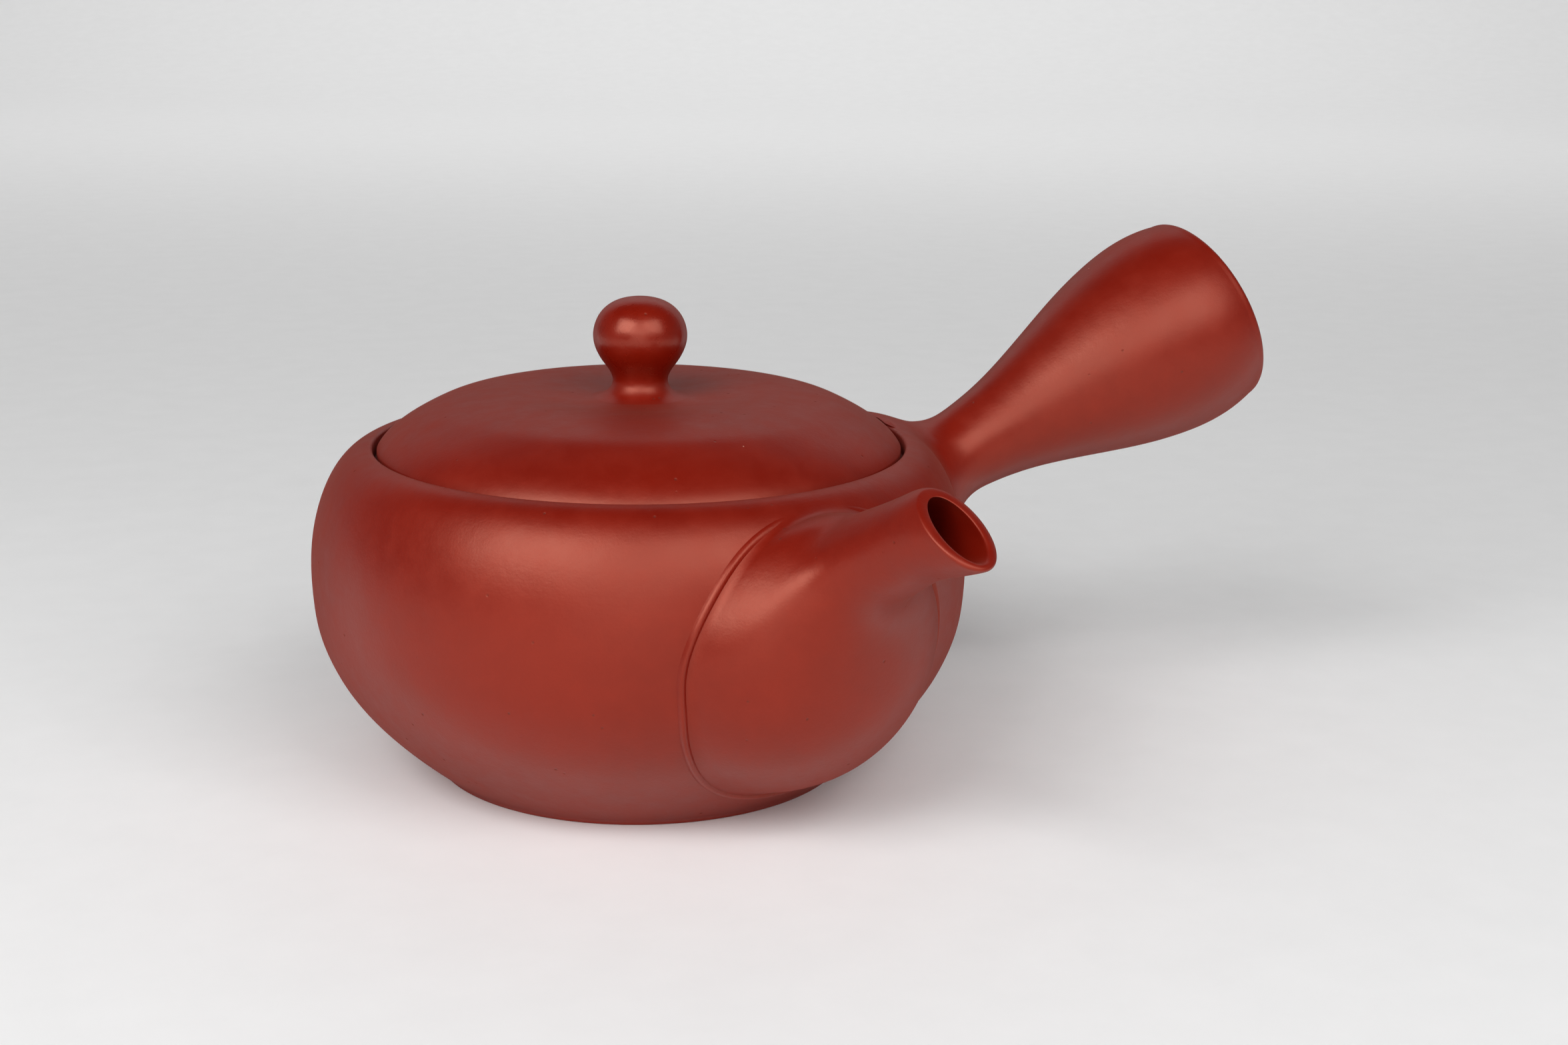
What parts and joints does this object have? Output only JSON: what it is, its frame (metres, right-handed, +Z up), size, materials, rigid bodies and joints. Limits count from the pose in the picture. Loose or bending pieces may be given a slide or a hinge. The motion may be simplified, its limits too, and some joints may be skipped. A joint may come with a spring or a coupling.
{
  "type": "side-handled teapot",
  "caption": "Round side-handled clay teapot with a bulbous spout, an inner strainer, a hollow flared handle and a lift-off domed lid with a ball knob.",
  "frame": {"origin": "centre of the foot ring, on the plane that the pot stands on", "axes": "+Z up along the axis that the bowl and lid were turned about; +X along the side handle; the spout leaves 79 degrees clockwise from the handle, seen from above"},
  "size_m": [0.1716, 0.1384, 0.0851],
  "materials": {
    "pot_body": "unglazed red stoneware, smooth thrown surface polished to a soft satin",
    "spout": "unglazed red stoneware, satin outside, duller and darker inside the channel",
    "spout_seam": "worked bead of the same red clay, slightly rubbed along its crest",
    "strainer": "unglazed red stoneware, matt and unpolished",
    "strainer_seam": "worked collar of the same red clay, matt",
    "handle": "unglazed red stoneware, satin, faint marks along the grip",
    "lid": "unglazed red stoneware, satin on top, matt underneath",
    "knob": "unglazed red stoneware, the most polished of the pieces from handling"
  },
  "bodies": {
    "pot": {"pot_body": "pot_body", "spout": "spout", "spout_seam": "spout_seam", "strainer": "strainer", "strainer_seam": "strainer_seam", "handle": "handle"},
    "lid": {"lid": "lid", "knob": "knob"}
  },
  "joints": [
    {"name": "lid_lift", "type": "slide", "parent": "pot", "child": "lid", "axis": [0, 0, 1], "range_m": [0, 0.06]}
  ]
}
